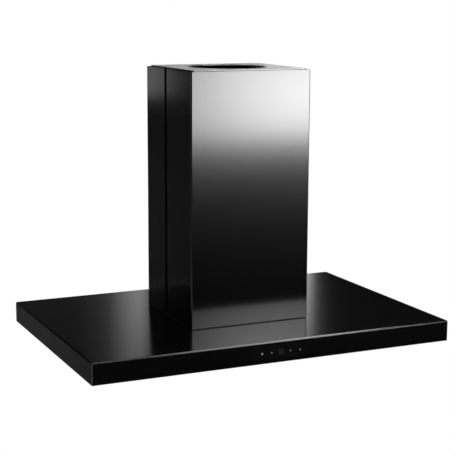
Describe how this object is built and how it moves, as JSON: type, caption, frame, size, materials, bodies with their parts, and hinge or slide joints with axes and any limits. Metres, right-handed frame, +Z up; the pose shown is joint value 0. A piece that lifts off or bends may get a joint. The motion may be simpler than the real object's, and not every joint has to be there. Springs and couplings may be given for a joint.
{
  "type": "island range hood",
  "caption": "Ceiling-hung range hood: flat rectangular canopy with front touch controls under a square telescopic chimney.",
  "frame": {"origin": "centre of the ceiling plate's top face, on the chimney's axis, where the hood meets the ceiling", "axes": "+Z up, +X along the canopy's long side, -Y towards the front skirt with the controls; the hood hangs below the origin, drawn with the chimney retracted"},
  "size_m": [0.9, 0.6, 0.65],
  "materials": {
    "chimney_paint": "satin black powder coat on folded steel",
    "canopy_paint": "satin black powder coat on folded steel",
    "zinc_steel": "galvanised steel sheet",
    "fastener_steel": "zinc-plated steel",
    "black_screws": "blackened countersunk screws",
    "seal_rubber": "black rubber",
    "touch_window": "black back-printed glass",
    "black_plastic": "moulded black plastic",
    "circuit_board": "green solder-masked board",
    "display_black": "smoked display block",
    "impeller_plastic": "moulded grey plastic",
    "motor_casting": "painted motor casing with its windings inside",
    "capacitor_white": "white plastic can",
    "lead_insulation": "grey insulated lead",
    "lamp_trim": "satin aluminium",
    "lamp_diffuser": "frosted diffuser",
    "lamp_casting": "cast aluminium with fins",
    "filter_aluminium": "bare pressed and expanded aluminium"
  },
  "bodies": {
    "ceiling_mount": {"ceiling_plate": "zinc_steel", "plate_screws": "fastener_steel", "upper_chimney_front": "chimney_paint", "upper_chimney_rear": "chimney_paint", "upper_chimney_screws": "fastener_steel", "upper_angle_front_left": "zinc_steel", "upper_angle_front_right": "zinc_steel", "upper_angle_rear_left": "zinc_steel", "upper_angle_rear_right": "zinc_steel"},
    "impeller_wheel": {"impeller": "impeller_plastic", "motor_shaft": "fastener_steel"},
    "outlet_flap_front": {"flap_front": "black_plastic"},
    "outlet_flap_rear": {"flap_rear": "black_plastic"},
    "filter_left": {"filter_frame_left": "filter_aluminium", "filter_mesh_left": "filter_aluminium", "latch_spring_left": "fastener_steel"},
    "latch_left": {"filter_latch_left": "black_plastic"},
    "filter_right": {"filter_frame_right": "filter_aluminium", "filter_mesh_right": "filter_aluminium", "latch_spring_right": "fastener_steel"},
    "latch_right": {"filter_latch_right": "black_plastic"},
    "hood": {"lower_chimney_front": "chimney_paint", "lower_chimney_rear": "chimney_paint", "canopy_shell": "canopy_paint", "underside_pan": "canopy_paint", "base_frame": "zinc_steel", "motor_box": "zinc_steel", "motor_bracket": "zinc_steel", "lower_angle_front_left": "zinc_steel", "lower_angle_front_right": "zinc_steel", "lower_angle_rear_left": "zinc_steel", "lower_angle_rear_right": "zinc_steel", "frame_bolts": "fastener_steel", "frame_nuts": "fastener_steel", "small_screws": "fastener_steel", "flap_pin": "fastener_steel", "filter_strikes": "fastener_steel", "pan_screws": "black_screws", "chimney_gasket": "seal_rubber", "motor_grommets": "seal_rubber", "touch_glass": "touch_window", "touch_holder": "black_plastic", "control_box_base": "black_plastic", "control_box_lid": "black_plastic", "scroll_left": "black_plastic", "scroll_right": "black_plastic", "cable_gland": "black_plastic", "outlet_collar": "black_plastic", "touch_board": "circuit_board", "power_board": "circuit_board", "touch_display": "display_black", "motor_body": "motor_casting", "capacitor": "capacitor_white", "wiring": "lead_insulation", "lamp_bezel_left": "lamp_trim", "lamp_bezel_right": "lamp_trim", "lamp_lens_left": "lamp_diffuser", "lamp_lens_right": "lamp_diffuser", "lamp_body_left": "lamp_casting", "lamp_body_right": "lamp_casting"}
  },
  "joints": [
    {"name": "height_slide", "type": "slide", "parent": "ceiling_mount", "child": "hood", "axis": [0, 0, -1], "range_m": [0, 0.4]},
    {"name": "impeller_spin", "type": "hinge", "parent": "hood", "child": "impeller_wheel", "pos_m": [0, -0.013, -0.494], "axis": [1, 0, 0], "continuous": true},
    {"name": "flap_front_hinge", "type": "hinge", "parent": "hood", "child": "outlet_flap_front", "pos_m": [0, 0, -0.3272], "axis": [-1, 0, 0], "range_deg": [0, 75]},
    {"name": "flap_rear_hinge", "type": "hinge", "parent": "hood", "child": "outlet_flap_rear", "pos_m": [0, 0, -0.3272], "axis": [1, 0, 0], "range_deg": [0, 75]},
    {"name": "filter_left_hinge", "type": "hinge", "parent": "hood", "child": "filter_left", "pos_m": [0, 0.182, -0.6478], "axis": [1, 0, 0], "range_deg": [0, 60], "deforming": ["filter_strikes"]},
    {"name": "filter_right_hinge", "type": "hinge", "parent": "hood", "child": "filter_right", "pos_m": [0, 0.182, -0.6478], "axis": [1, 0, 0], "range_deg": [0, 60], "deforming": ["filter_strikes"]},
    {"name": "latch_left_slide", "type": "slide", "parent": "filter_left", "child": "latch_left", "axis": [0, 1, 0], "range_m": [0, 0.005], "stiffness_N_per_m": 600, "deforming": ["latch_spring_left"]},
    {"name": "latch_right_slide", "type": "slide", "parent": "filter_right", "child": "latch_right", "axis": [0, 1, 0], "range_m": [0, 0.005], "stiffness_N_per_m": 600, "deforming": ["latch_spring_right"]}
  ]
}
